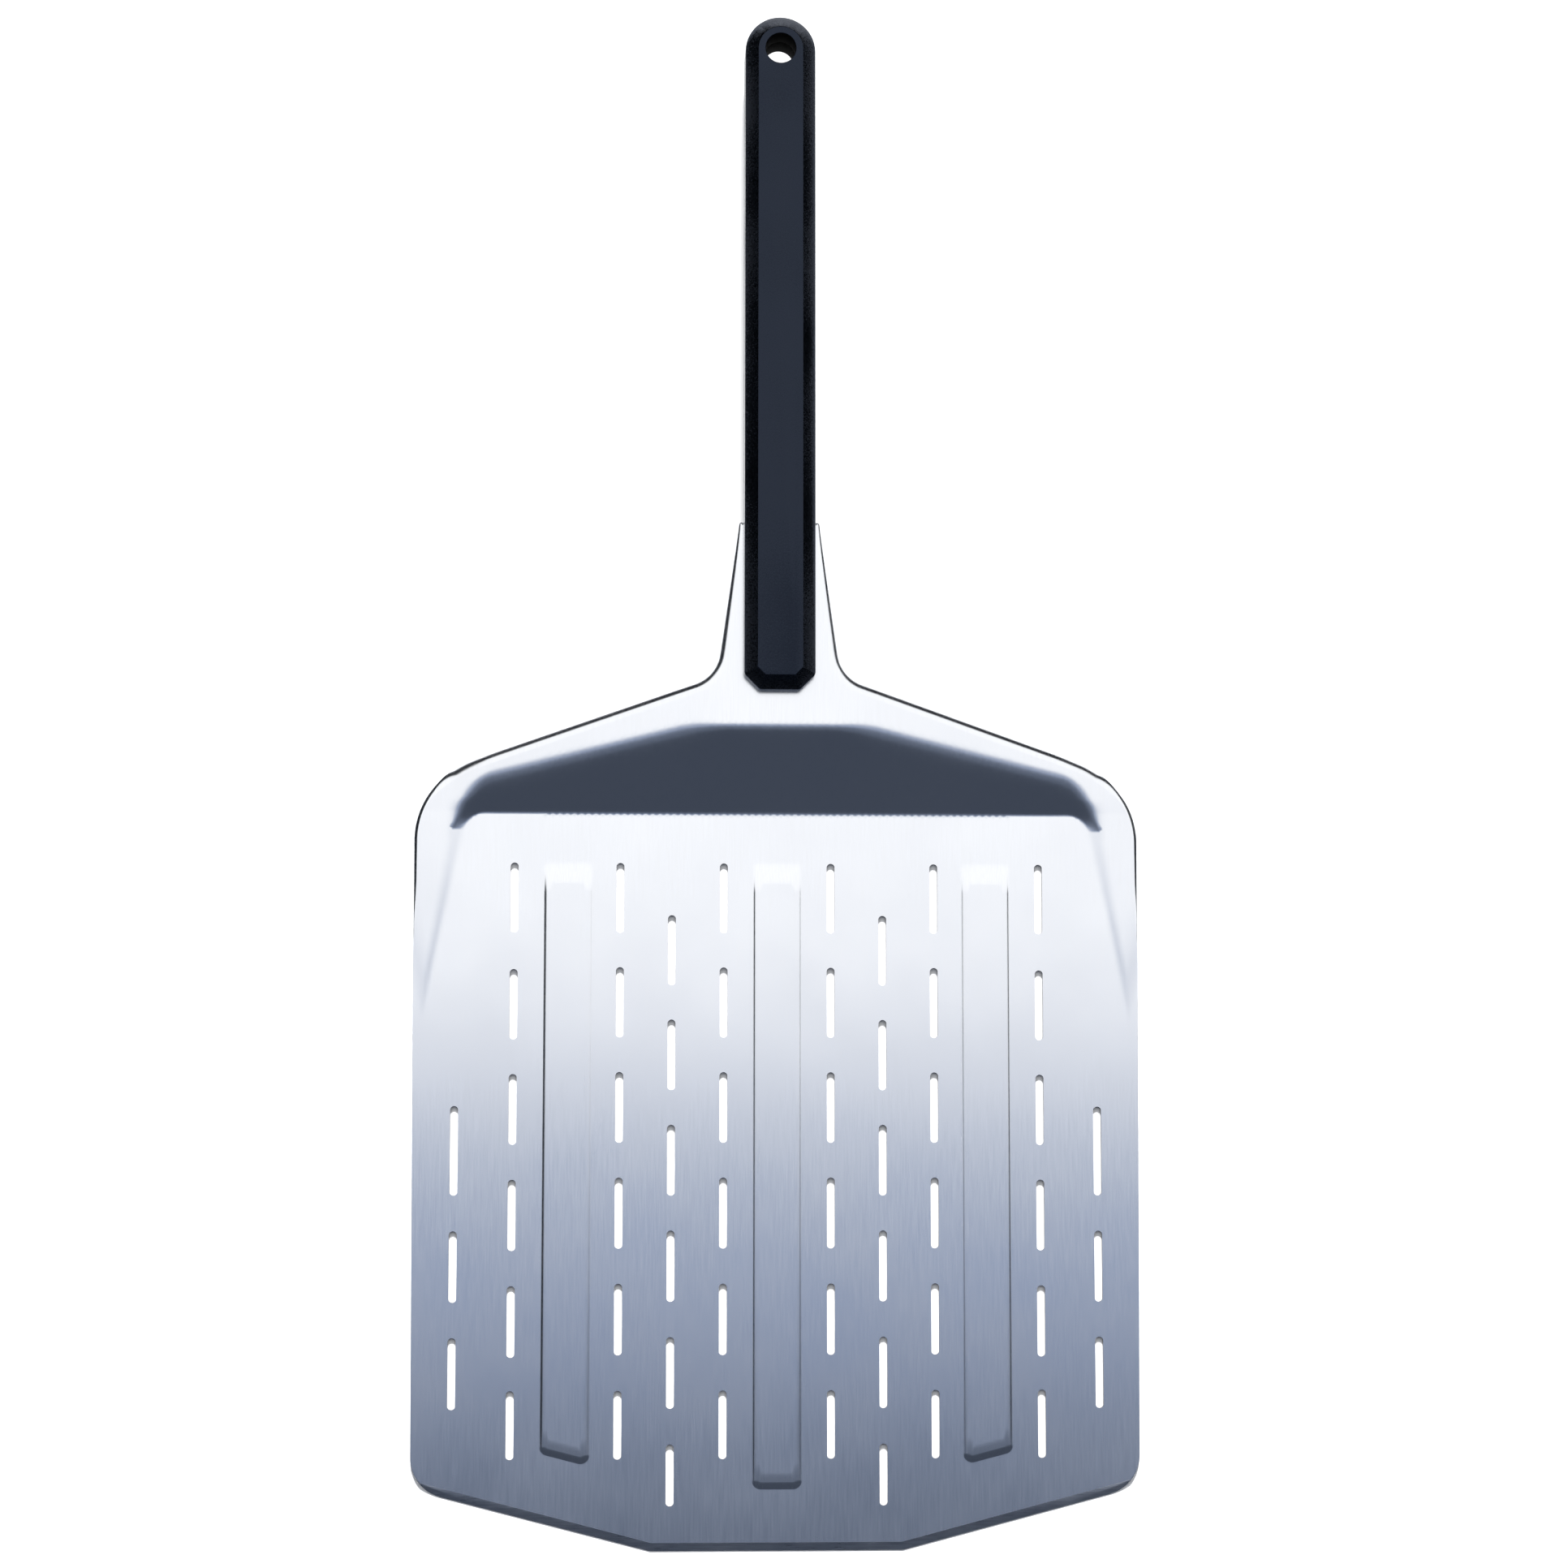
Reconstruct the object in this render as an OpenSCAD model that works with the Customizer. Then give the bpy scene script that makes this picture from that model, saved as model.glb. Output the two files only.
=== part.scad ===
// Perforated pizza peel: one pressed and punched aluminium sheet with a raised neck,
// and a two-shell nylon handle that clamps the sheet's tang with screws and brass inserts.
// It lies flat: +Y points from the blade to the handle's end, +Z is up, the blade's
// underside is at z = 0 and the origin is under the middle of the whole peel.

/* [Overall] */
// Length from the front edge to the end of the handle
overall_l = 644; // [600:1:680]

/* [Blade outline] */
// Greatest width of the blade, at the rear corners
blade_w = 306; // [290:1:320]
// Width of the blade at its front corners
front_w = 302; // [280:1:304]
// Width of the straight middle part of the front edge
tip_w = 104.6; // [80:0.1:140]
// How far the front corners lie behind the front edge
tip_sweep = 25.5; // [15:0.5:35]
// Radius of the front corners
front_corner_r = 17; // [8:1:25]
// Radius of the rear corners
rear_corner_r = 36; // [20:1:45]
// Distance from the front edge to the rear corner points
blade_l = 319.3; // [300:0.1:330]
// Thickness of the aluminium sheet
sheet_t = 1.6; // [1.2:0.1:2.5]
// Length of the ground bevel along the front edges
bevel_l = 3.4; // [3:0.1:8]
// Sheet thickness left at the very edge of the bevel
bevel_edge = 0.4; // [0.2:0.1:0.8]

/* [Neck] */
// Height that the neck is raised above the blade
rise = 17; // [14:0.5:20]
// Width where the neck meets the shoulders
neck_root_w = 53.4; // [45:0.1:60]
// Width of the neck at its rear end
neck_top_w = 34; // [33.4:0.1:40]
// Length of the neck along the peel
neck_l = 65.4; // [50:0.1:80]
// Radius of the inside corners between neck and shoulders
neck_fillet_r = 15; // [8:1:20]
// Distance that the shoulders climb from the rear corners to the neck
shoulder_climb = 42.6; // [35:0.1:50]
// Depth of the lip that is turned down round the neck and shoulders
lip_h = 5; // [3:0.5:8]
// Width of the tang inside the handle
tang_w = 17; // [12:0.5:20]
// Length of the tang behind the neck
tang_l = 112; // [80:1:140]

/* [Pressed ramp and side rails] */
// Distance from the front edge to the foot of the ramp
ramp_foot = 305.8; // [295:0.1:310]
// Horizontal run of the ramp at its middle
ramp_run = 33.6; // [30:0.1:40]
// Width of the level part of the ramp's top edge
ramp_top_w = 54.4; // [40:0.1:70]
// How fast the ramp's top edge falls back towards the corners
ramp_edge_slope = 0.24; // [0.15:0.01:0.3]
// Slope of the shoulders towards the corners
wing_slope = 0.117; // [0.08:0.001:0.14]
// Distance between the side rails at the foot of the ramp
rail_rear_w = 261; // [250:1:280]
// Length of the side rails in front of the ramp's foot
rail_l = 104.5; // [80:0.5:140]
// Slope of the rails' inner walls
rail_wall_slope = 0.17; // [0.1:0.01:1]
// Height of the rails beside the ramp's foot
rail_h = 0.9; // [0.5:0.1:4]

/* [Ribs] */
// Width of each pressed rib
rib_w = 21.2; // [15:0.1:30]
// Height that the ribs are pressed up
rib_h = 1.0; // [0.8:0.1:2]
// Distance from the middle rib to the outer ribs
rib_pitch = 87.8; // [80:0.1:95]
// Distance from the front edge to the front end of the middle rib
rib_front = 24.8; // [20:0.1:40]
// Distance from the front edge to the front end of the outer ribs
rib_side_front = 37; // [30:0.1:50]
// Distance from the front edge to the rear ends of the ribs
rib_rear = 283; // [270:1:290]
// Corner radius of the ribs
rib_r = 4; // [2:0.5:8]

/* [Slots] */
// Width of each slot
slot_w = 3.4; // [2:0.1:5]
// Length of a full slot
slot_l = 29.4; // [20:0.1:32]
// Distance from one slot to the next in a column
slot_pitch = 43.8; // [36:0.1:46]
// Distance from the front edge to the rear end of the first row
slot_rear = 284.3; // [275:0.1:290]
// Length of the front slot in a full column
slot_last_l = 28.1; // [20:0.1:29.4]
// Length of the front slot in a staggered column
slot_last_stagger_l = 25.3; // [20:0.1:29.4]
// Slots in each full or staggered column
slot_rows = 6; // [3:1:6]
// Distance of the inner full columns from the middle
column_1 = 22.5; // [18:0.1:26]
// Distance of the staggered columns from the middle
column_2 = 44.3; // [40:0.1:48]
// Distance of the next full columns from the middle
column_3 = 66; // [60:0.1:70]
// Distance of the outer full columns from the middle
column_4 = 110.4; // [105:0.1:116]
// Distance of the short outermost columns from the middle
column_5 = 134.6; // [128:0.1:140]

/* [Handle] */
// Width of the handle
handle_w = 29.7; // [28:0.1:32]
// Thickness of the handle
handle_t = 24.5; // [20:0.1:30]
// Distance from the blade's front edge to the handle's front end
handle_start = 355.3; // [345:0.1:365]
// Width of the long chamfers, seen from above
chamfer_w = 5.5; // [3:0.1:7]
// Height of the long chamfers
chamfer_h = 4.5; // [3:0.1:6]
// Cut across the two front corners of the handle
handle_corner = 6.4; // [4:0.1:9]
// Radius of the upright edges at those cuts
handle_edge_r = 2.5; // [0.5:0.1:4]
// Radius of the hang hole
hang_r = 6.5; // [4:0.1:8]
// Wall thickness of the shells
wall = 2.8; // [2:0.1:4]
// Thickness of the cross ribs inside the shells
web_t = 2; // [1.5:0.1:3]

/* [Fasteners] */
// Radius of the screws' threads
screw_r = 2; // [1.5:0.1:2.5]
// Length of the screws under the head
screw_l = 16; // [14:1:18]
// Radius of the screw heads
head_r = 3.8; // [3:0.1:4.5]
// Height of the screw heads
head_h = 2.3; // [2:0.1:3]
// Depth of the screw head's seat below the handle's underside
seat_depth = 3.6; // [3:0.1:5]
// Outer radius of the brass inserts
insert_r = 3; // [2.5:0.1:4]
// Length of the brass inserts
insert_l = 7.6; // [5:0.1:8]

/* [Hidden] */
$fn = 64;

front_y = -overall_l / 2;
end_y = overall_l / 2;
corner_y = front_y + blade_l;
root_y = corner_y + shoulder_climb;
neck_end_y = root_y + neck_l;
tang_end_y = neck_end_y + tang_l;
foot_y = front_y + ramp_foot;
head_y = foot_y + ramp_run;
ramp_slope = rise / ramp_run;
ramp_edge_angle = atan(ramp_edge_slope);
mid_z = rise + sheet_t / 2;
handle_y = front_y + handle_start;
hang_y = end_y - handle_w / 2;
under_z = mid_z - handle_t / 2;
seat_z = under_z + seat_depth;
screw_y = [62, 122, 196, 280];
tang_holes = 3;
insert_z = rise + sheet_t + 0.3;
head_clear = 0.4;
shank_clear = 0.2;
press = 0.05;
reach = 400;
tiny = 0.01;

alu = "#b9c0c8";
nylon = "#16181c";
steel = "#8d9096";
brass = "#b5954f";

// ---- outline helpers -------------------------------------------------------------

// Points of the arc that rounds vertex b, between its neighbours a and c
function fillet(a, b, c, r, steps) =
    let (
        u = (a - b) / norm(a - b),
        w = (c - b) / norm(c - b),
        half = acos(u * w) / 2,
        centre = b + (u + w) / norm(u + w) * r / sin(half),
        p = b + u * r / tan(half) - centre,
        q = b + w * r / tan(half) - centre,
        from = atan2(p.y, p.x),
        turn = atan2(p.x * q.y - p.y * q.x, p * q)
    )
    [for (i = [0:steps]) centre + r * [cos(from + turn * i / steps), sin(from + turn * i / steps)]];

// A closed outline of [x, y, radius] vertices with every corner rounded
function rounded(v, steps = 8) =
    let (n = len(v))
    [for (i = [0:n - 1]) each fillet(
        [v[(i + n - 1) % n].x, v[(i + n - 1) % n].y],
        [v[i].x, v[i].y],
        [v[(i + 1) % n].x, v[(i + 1) % n].y],
        v[i].z, steps)];

// The same outline moved inwards by d; v runs anticlockwise
function left_normal(a, b) = [a.y - b.y, b.x - a.x] / norm([b.x - a.x, b.y - a.y]);
function turns_left(a, b, c) = (b.x - a.x) * (c.y - b.y) - (b.y - a.y) * (c.x - b.x) > 0;
function inset(v, d) =
    let (n = len(v))
    [for (i = [0:n - 1])
        let (
            a = v[(i + n - 1) % n],
            b = v[i],
            c = v[(i + 1) % n],
            m = left_normal(a, b),
            k = left_normal(b, c),
            p = [b.x, b.y] + (m + k) * d / (1 + m * k)
        )
        [p.x, p.y, turns_left(a, b, c) ? max(b.z - d, 0.2) : b.z + d]];

// Both halves of a symmetrical outline, from its right half
function both_sides(half) =
    let (n = len(half))
    concat(half, [for (i = [n - 1:-1:0]) [-half[i].x, half[i].y, half[i].z]]);

blade_vertices = both_sides([
    [tip_w / 2, front_y, 3],
    [front_w / 2, front_y + tip_sweep, front_corner_r],
    [blade_w / 2, corner_y, rear_corner_r],
    [neck_root_w / 2, root_y, neck_fillet_r],
    [neck_top_w / 2, neck_end_y, 1.4],
    [tang_w / 2, neck_end_y, 2],
    [tang_w / 2, tang_end_y, 4]
]);

// ---- blade -----------------------------------------------------------------------

// Everything below a sloping plane that passes through [x, y, z] and climbs along a
module below(point, a, slope) {
    translate(point)
        rotate([0, 0, a])
            rotate([90, 0, 0])
                linear_extrude(2 * reach, center = true)
                    polygon([
                        [-reach, -reach * slope],
                        [-reach, -2 * reach],
                        [reach, -2 * reach],
                        [reach, reach * slope]
                    ]);
}

// Everything below the pressed surface: the flat blade, ramp, shoulders, neck and rails
module below_surface() {
    rail_angle = atan2(blade_w - rail_rear_w, 2 * rail_l);
    union() {
        translate([-reach, -reach, -reach])
            cube([2 * reach, 2 * reach, reach]);
        intersection() {
            translate([-reach, -reach, -reach])
                cube([2 * reach, 2 * reach, reach + rise]);
            below([ramp_top_w / 2, head_y, rise], 180 - ramp_edge_angle, wing_slope);
            below([-ramp_top_w / 2, head_y, rise], ramp_edge_angle, wing_slope);
            union() {
                below([0, foot_y, rail_h], 90, rail_h / rail_l);
                below([0, foot_y, rail_h], 90, ramp_slope);
            }
            union() {
                below([0, foot_y, 0], 90, ramp_slope);
                below([rail_rear_w / 2, foot_y, 0], rail_angle, rail_wall_slope);
                below([-rail_rear_w / 2, foot_y, 0], 180 - rail_angle, rail_wall_slope);
            }
        }
    }
}

// A straight round-ended slot whose rear end is at y
module slot(x, y, length) {
    translate([x, y - slot_w / 2])
        circle(d = slot_w, $fn = 24);
    translate([x, y - length + slot_w / 2])
        circle(d = slot_w, $fn = 24);
    translate([x - slot_w / 2, y - length + slot_w / 2])
        square([slot_w, length - slot_w]);
}

// One column of slots on both sides of the blade
module column(x, rear, rows, last_l, sag = 0) {
    for (side = [-1, 1], i = [0:rows - 1])
        slot(side * x,
             rear - i * slot_pitch - ((i > 0 && i < rows - 1) ? sag : 0),
             (i == rows - 1) ? last_l : slot_l);
}

module slots() {
    rear = front_y + slot_rear;
    column(column_1, rear, slot_rows, slot_last_l);
    column(column_2, rear - slot_pitch / 2, slot_rows, slot_last_stagger_l);
    column(column_3, rear, slot_rows, slot_last_l);
    column(column_4, rear, slot_rows, slot_last_l, 0.9);
    column(column_5, rear - 3.505 * slot_pitch, 2, slot_l);
    for (side = [-1, 1])
        slot(side * column_5, rear - 2.325 * slot_pitch, slot_l * 1.26);
}

// Outline of one rib; skew slants its front end
module rib_outline(x, front, skew, shrink) {
    translate([x, 0])
        polygon(rounded([
            [-rib_w / 2 + shrink, front_y + front - skew + shrink, rib_r],
            [rib_w / 2 - shrink, front_y + front + skew + shrink, rib_r],
            [rib_w / 2 - shrink, front_y + rib_rear - shrink, rib_r],
            [-rib_w / 2 + shrink, front_y + rib_rear - shrink, rib_r]
        ], 5));
}

module ribs_outline(shrink = 0) {
    skew = rib_w / 2 * tip_sweep / (front_w - tip_w) * 2;
    rib_outline(0, rib_front, 0, shrink);
    rib_outline(rib_pitch, rib_side_front, skew, shrink);
    rib_outline(-rib_pitch, rib_side_front, -skew, shrink);
}

// Wedge that grinds the bevel along one straight stretch of the front edge
module bevel_cut(a, from) {
    bevel_angle = atan((sheet_t - bevel_edge) / bevel_l);
    translate([from.x, from.y, bevel_edge])
        rotate([0, 0, a])
            rotate([bevel_angle, 0, 0])
                translate([-reach, -2 * bevel_l, 0])
                    cube([2 * reach, 5 * bevel_l, 3 * sheet_t]);
}

module bevel() {
    sweep_angle = atan2(tip_sweep, (front_w - tip_w) / 2);
    bevel_cut(0, [0, front_y]);
    bevel_cut(sweep_angle, [tip_w / 2, front_y]);
    bevel_cut(-sweep_angle, [-tip_w / 2, front_y]);
}

// The lip turned down round the neck, the shoulders and the rear corners
module lip() {
    intersection() {
        linear_extrude(2 * rise)
            difference() {
                polygon(rounded(blade_vertices));
                polygon(rounded(inset(blade_vertices, sheet_t)));
                translate([-blade_w, front_y])
                    square([2 * blade_w, foot_y - rear_corner_r - front_y]);
                translate([-handle_w / 2 - tiny, handle_y])
                    square([handle_w + 2 * tiny, overall_l]);
            }
        difference() {
            translate([0, 0, sheet_t / 2])
                below_surface();
            translate([0, 0, -lip_h])
                below_surface();
        }
    }
}

module blade() {
    color(alu) {
        difference() {
            union() {
                intersection() {
                    linear_extrude(2 * rise)
                        polygon(rounded(blade_vertices));
                    difference() {
                        translate([0, 0, sheet_t])
                            below_surface();
                        below_surface();
                    }
                }
                lip();
                linear_extrude(sheet_t + rib_h)
                    ribs_outline();
            }
            translate([0, 0, -tiny])
                linear_extrude(rib_h + tiny)
                    ribs_outline(sheet_t);
            translate([0, 0, -1])
                linear_extrude(rise)
                    slots();
            bevel();
            for (i = [0:tang_holes - 1])
                translate([0, screw_y[i], rise - 1])
                    cylinder(r = screw_r + shank_clear, h = sheet_t + 2);
        }
    }
}

// ---- handle ----------------------------------------------------------------------

// Right half of the handle's section: straight flanks and two long chamfers
function half_section(grow) =
    let (
        hw = handle_w / 2 + grow,
        ht = handle_t / 2 + grow
    )
    [
        [0, -ht],
        [hw - chamfer_w, -ht],
        [hw, -ht + chamfer_h],
        [hw, ht - chamfer_h],
        [hw - chamfer_w, ht],
        [0, ht]
    ];

module whole_section(grow = 0) {
    polygon(half_section(grow));
    mirror([1, 0])
        polygon(half_section(grow));
}

// A bar of the handle's section, from y to y + length
module bar(y, length, grow = 0) {
    translate([0, y + length, mid_z])
        rotate([90, 0, 0])
            linear_extrude(length)
                whole_section(grow);
}

// Keeps what lies behind a chamfered end wall that faces angle a and passes through p
module behind_end(p, a) {
    translate([p.x, p.y, mid_z])
        rotate([0, 0, a])
            rotate([90, 0, 90])
                linear_extrude(2 * reach, center = true)
                    polygon([
                        [0, chamfer_h - handle_t / 2],
                        [chamfer_w, -handle_t / 2],
                        [reach, -handle_t / 2],
                        [reach, handle_t / 2],
                        [chamfer_w, handle_t / 2],
                        [0, handle_t / 2 - chamfer_h]
                    ]);
}

// Right half of the handle's plan, with the cut front corner
handle_plan = [
    [handle_w / 2 - handle_corner, handle_y, handle_edge_r],
    [handle_w / 2, handle_y + handle_corner, handle_edge_r],
    [handle_w / 2, end_y + 1, tiny]
];

// The handle's outer shape, with its round rear end and the two cut front corners
module handle_form() {
    intersection() {
        linear_extrude(3 * rise)
            polygon(rounded(both_sides(handle_plan)));
        union() {
            bar(handle_y, hang_y - handle_y);
            translate([0, hang_y, mid_z])
                rotate_extrude($fn = 96)
                    polygon(half_section(0));
        }
        behind_end([0, handle_y], 0);
        behind_end([handle_w / 2 - handle_corner, handle_y], 45);
        behind_end([-handle_w / 2 + handle_corner, handle_y], -45);
    }
}

// Room for the neck and the tang between the shells
module tang_room() {
    translate([0, 0, rise])
        linear_extrude(sheet_t)
            polygon(rounded(inset(blade_vertices, -0.2)));
}

// Hollows between the screw bosses, split by thin cross ribs
module hollows() {
    boss = insert_r + wall + 0.4;
    starts = [handle_y + wall + chamfer_w, for (y = screw_y) y + boss];
    ends = [for (y = screw_y) y - boss, hang_y - hang_r - 2 * wall];
    for (i = [0:len(starts) - 1]) {
        span = ends[i] - starts[i];
        cells = max(1, round(span / 26));
        cell = (span - (cells - 1) * web_t) / cells;
        for (k = [0:cells - 1])
            if (cell > 3)
                bar(starts[i] + k * (cell + web_t), cell, -wall);
    }
}

module hang_hole() {
    translate([0, hang_y, 0])
        cylinder(r = hang_r, h = 3 * rise);
}

module upper_half() {
    translate([-reach, -reach, mid_z])
        cube([2 * reach, 2 * reach, reach]);
}

module handle_front_shell() {
    color(nylon)
        difference() {
            intersection() {
                handle_form();
                upper_half();
            }
            tang_room();
            hollows();
            hang_hole();
            for (y = screw_y)
                translate([0, y, mid_z])
                    cylinder(r = insert_r, h = insert_z + insert_l + 0.6 - mid_z);
        }
}

module handle_back_shell() {
    color(nylon)
        difference() {
            handle_form();
            upper_half();
            tang_room();
            hollows();
            hang_hole();
            for (y = screw_y) {
                translate([0, y, 0])
                    cylinder(r = screw_r + shank_clear, h = 2 * rise);
                translate([0, y, 0])
                    cylinder(r = head_r + head_clear, h = seat_z);
            }
        }
}

// ---- fasteners -------------------------------------------------------------------

// A button-head screw driven upwards, with a hexagon socket
module screw(y) {
    socket_r = 1.45;
    socket_depth = 1.4;
    crown = 1.3;
    translate([0, y, seat_z])
        difference() {
            union() {
                cylinder(r = screw_r, h = screw_l);
                rotate_extrude()
                    polygon([
                        [0, 0],
                        [head_r, 0],
                        [head_r, crown - head_h],
                        [head_r * 0.62, -head_h],
                        [0, -head_h]
                    ]);
            }
            translate([0, 0, -head_h - tiny])
                cylinder(r = socket_r, h = socket_depth, $fn = 6);
        }
}

module screws() {
    color(steel)
        for (y = screw_y)
            screw(y);
}

// A brass insert with a groove between its two knurled bands
module insert(y) {
    bore_r = screw_r + press;
    groove_r = insert_r - 0.5;
    band = insert_l * 0.36;
    translate([0, y, insert_z])
        rotate_extrude()
            polygon([
                [bore_r, 0],
                [insert_r + press, 0],
                [insert_r + press, band],
                [groove_r, band + 0.4],
                [groove_r, insert_l - band - 0.4],
                [insert_r + press, insert_l - band],
                [insert_r + press, insert_l],
                [bore_r, insert_l]
            ]);
}

module inserts() {
    color(brass)
        for (y = screw_y)
            insert(y);
}

blade();
handle_front_shell();
handle_back_shell();
screws();
inserts();
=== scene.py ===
# %% [markdown]
# # A perforated pizza peel
# The object is a flat aluminium blade with punched slots and pressed ribs, a raised neck, and a long
# black nylon handle made of two shells. This file builds its finished look around the CAD model, cell
# by cell. The CAD model gives every place and size, so the first cell loads it and keeps its box.

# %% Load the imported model
import math

import bmesh
import bpy
import numpy as np
from mathutils import Matrix, Vector
from mathutils.geometry import delaunay_2d_cdt


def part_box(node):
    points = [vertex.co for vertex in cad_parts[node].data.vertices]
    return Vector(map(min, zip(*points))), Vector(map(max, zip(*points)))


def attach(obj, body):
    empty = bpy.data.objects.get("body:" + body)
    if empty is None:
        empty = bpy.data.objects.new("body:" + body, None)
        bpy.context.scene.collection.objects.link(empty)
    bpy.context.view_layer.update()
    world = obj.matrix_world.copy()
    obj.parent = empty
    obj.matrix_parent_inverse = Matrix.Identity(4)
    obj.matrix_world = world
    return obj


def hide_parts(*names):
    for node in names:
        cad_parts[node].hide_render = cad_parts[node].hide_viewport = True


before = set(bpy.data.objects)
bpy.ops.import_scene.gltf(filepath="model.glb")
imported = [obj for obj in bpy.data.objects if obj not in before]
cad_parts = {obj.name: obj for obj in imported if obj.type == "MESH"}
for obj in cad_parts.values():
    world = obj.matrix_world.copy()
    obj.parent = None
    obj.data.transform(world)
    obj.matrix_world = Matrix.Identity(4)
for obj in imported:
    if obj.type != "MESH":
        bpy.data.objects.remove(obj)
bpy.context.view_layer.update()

# %% [markdown]
# ## Small helpers
# Sizes are given in millimetres, as on a drawing, and MM turns them to Blender's metres. Colours are
# written as sRGB hex values, as a paint chart gives them, and one function makes them linear.

# %% Units, colours and one node helper
MM = 0.001


def linear(hex_colour):
    """An sRGB hex colour as a linear RGBA tuple."""
    parts = [int(hex_colour[i:i + 2], 16) / 255 for i in (1, 3, 5)]
    return tuple(c / 12.92 if c <= 0.04045 else ((c + 0.055) / 1.055) ** 2.4 for c in parts) + (1.0,)


def add_node(tree, kind, inputs=None, **settings):
    """One node with its settings; inputs are values or the sockets that feed it."""
    node = tree.nodes.new(kind)
    for name, value in settings.items():
        setattr(node, name, value)
    for key, value in (inputs or {}).items():
        socket = node.inputs[key]
        if isinstance(value, bpy.types.NodeSocket):
            tree.links.new(value, socket)
        else:
            socket.default_value = value
    return node


def object_from(name, vertices, faces):
    """A new mesh object at the origin, from vertices in millimetres."""
    mesh = bpy.data.meshes.new(name)
    mesh.from_pydata([tuple(c * MM for c in v) for v in vertices], [], faces)
    mesh.update()
    piece = bpy.data.objects.new(name, mesh)
    bpy.context.scene.collection.objects.link(piece)
    return piece


print("aluminium grey", linear("#b9c0c8"))

# %% [markdown]
# ## Camera
# A long flat tool shows its shape best from almost straight above, through a long lens that keeps the
# handle and the blade close to their true proportions. The camera could be aimed with a Track To
# constraint, but a fixed axis and up vector give the same place on every run. It stands a little to the
# left and a little towards the blade, so the handle's end is the farthest point.

# %% Camera
CAMERA_AT = Vector((-62.5, -148.1, 1364.5)) * MM
CAMERA_AXIS = Vector((0.0476, 0.1051, -0.9933))
CAMERA_UP = Vector((-0.0056, 0.9945, 0.1050))
LENS_MM = 74.5
SENSOR_MM = 36

camera_data = bpy.data.cameras.new("camera")
camera_data.lens = LENS_MM
camera_data.sensor_width = SENSOR_MM
camera_data.clip_end = 100
camera = bpy.data.objects.new("camera", camera_data)
bpy.context.scene.collection.objects.link(camera)
back = -CAMERA_AXIS.normalized()
right = CAMERA_UP.cross(back).normalized()
up = back.cross(right)
turn = Matrix((right, up, back)).transposed()
camera.matrix_world = Matrix.Translation(CAMERA_AT) @ turn.to_4x4()
bpy.context.scene.camera = camera
print("camera", tuple(round(c, 3) for c in CAMERA_AT), "lens", LENS_MM)

# %% [markdown]
# ## Floor and light
# Satin metal is mostly a blurred mirror, so its shading is made by what it reflects. It could be lit by
# an environment picture, but a few lamps under one ceiling are easier to steer. One large soft box hangs
# above the handle and ends above the middle of the blade, so the metal near the ramp mirrors it and is
# nearly white. Two bluish borders in front of the box make the slow fade to blue-grey towards the tip,
# and a very dim panel farther forward is all that the ramp can see. The rest of the room is dark, which
# draws the rolled edges and the ribs' sides. A sun lamp lights the floor alone, through light linking.

# %% Floor
bpy.context.scene.view_settings.view_transform = "Standard"

FLOOR_HALF = 30000
floor = object_from("floor", [(-FLOOR_HALF, -FLOOR_HALF, 0), (FLOOR_HALF, -FLOOR_HALF, 0),
                              (FLOOR_HALF, FLOOR_HALF, 0), (-FLOOR_HALF, FLOOR_HALF, 0)], [(0, 1, 2, 3)])
floor_paint = bpy.data.materials.new("matt_white_paper")
floor_paint.use_nodes = True
paper = floor_paint.node_tree.nodes["Principled BSDF"]
paper.inputs["Base Color"].default_value = linear("#f4f4f4")
paper.inputs["Roughness"].default_value = 0.9
floor.data.materials.append(floor_paint)
print("floor", 2 * FLOOR_HALF * MM, "m wide")

# %% Ceiling of lamps
CEILING = 3.0
WHITE = "#ffffff"
SKY_BLUE = "#c8dbff"


def ceiling_lamp(name, centre, size, radiance, colour):
    """A rectangular lamp that faces down; radiance is the brightness that a mirror would show of it."""
    data = bpy.data.lights.new(name, "AREA")
    data.shape = "RECTANGLE"
    data.size, data.size_y = size
    data.energy = radiance * math.pi * size[0] * size[1]
    data.color = linear(colour)[:3]
    lamp = bpy.data.objects.new(name, data)
    lamp.location = (*centre, CEILING)
    lamp.visible_camera = False
    bpy.context.scene.collection.objects.link(lamp)
    print(name, "from y", round(centre[1] - size[1] / 2, 2), "to", round(centre[1] + size[1] / 2, 2))


ceiling_lamp("soft_box", (0.88, 1.79), (8.74, 3.78), 1.15, WHITE)
ceiling_lamp("blue_border", (0.75, -0.315), (8.7, 0.43), 0.5, SKY_BLUE)
ceiling_lamp("blue_far_border", (0.75, -0.865), (8.7, 0.67), 0.15, SKY_BLUE)
ceiling_lamp("dim_front", (0.5, -4.2), (9.4, 6.0), 0.076, SKY_BLUE)

# %% Sun on the floor
SUN_STRENGTH = 6.4
SUN_FROM_VERTICAL = 57
SUN_SIZE = 8

sun_data = bpy.data.lights.new("sun", "SUN")
sun_data.energy = SUN_STRENGTH
sun_data.angle = math.radians(SUN_SIZE)
sun = bpy.data.objects.new("sun", sun_data)
sun.rotation_euler = (-math.radians(SUN_FROM_VERTICAL), 0, 0)
bpy.context.scene.collection.objects.link(sun)
lit_by_sun = bpy.data.collections.new("lit_by_sun")
lit_by_sun.objects.link(floor)
sun.light_linking.receiver_collection = lit_by_sun

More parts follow.
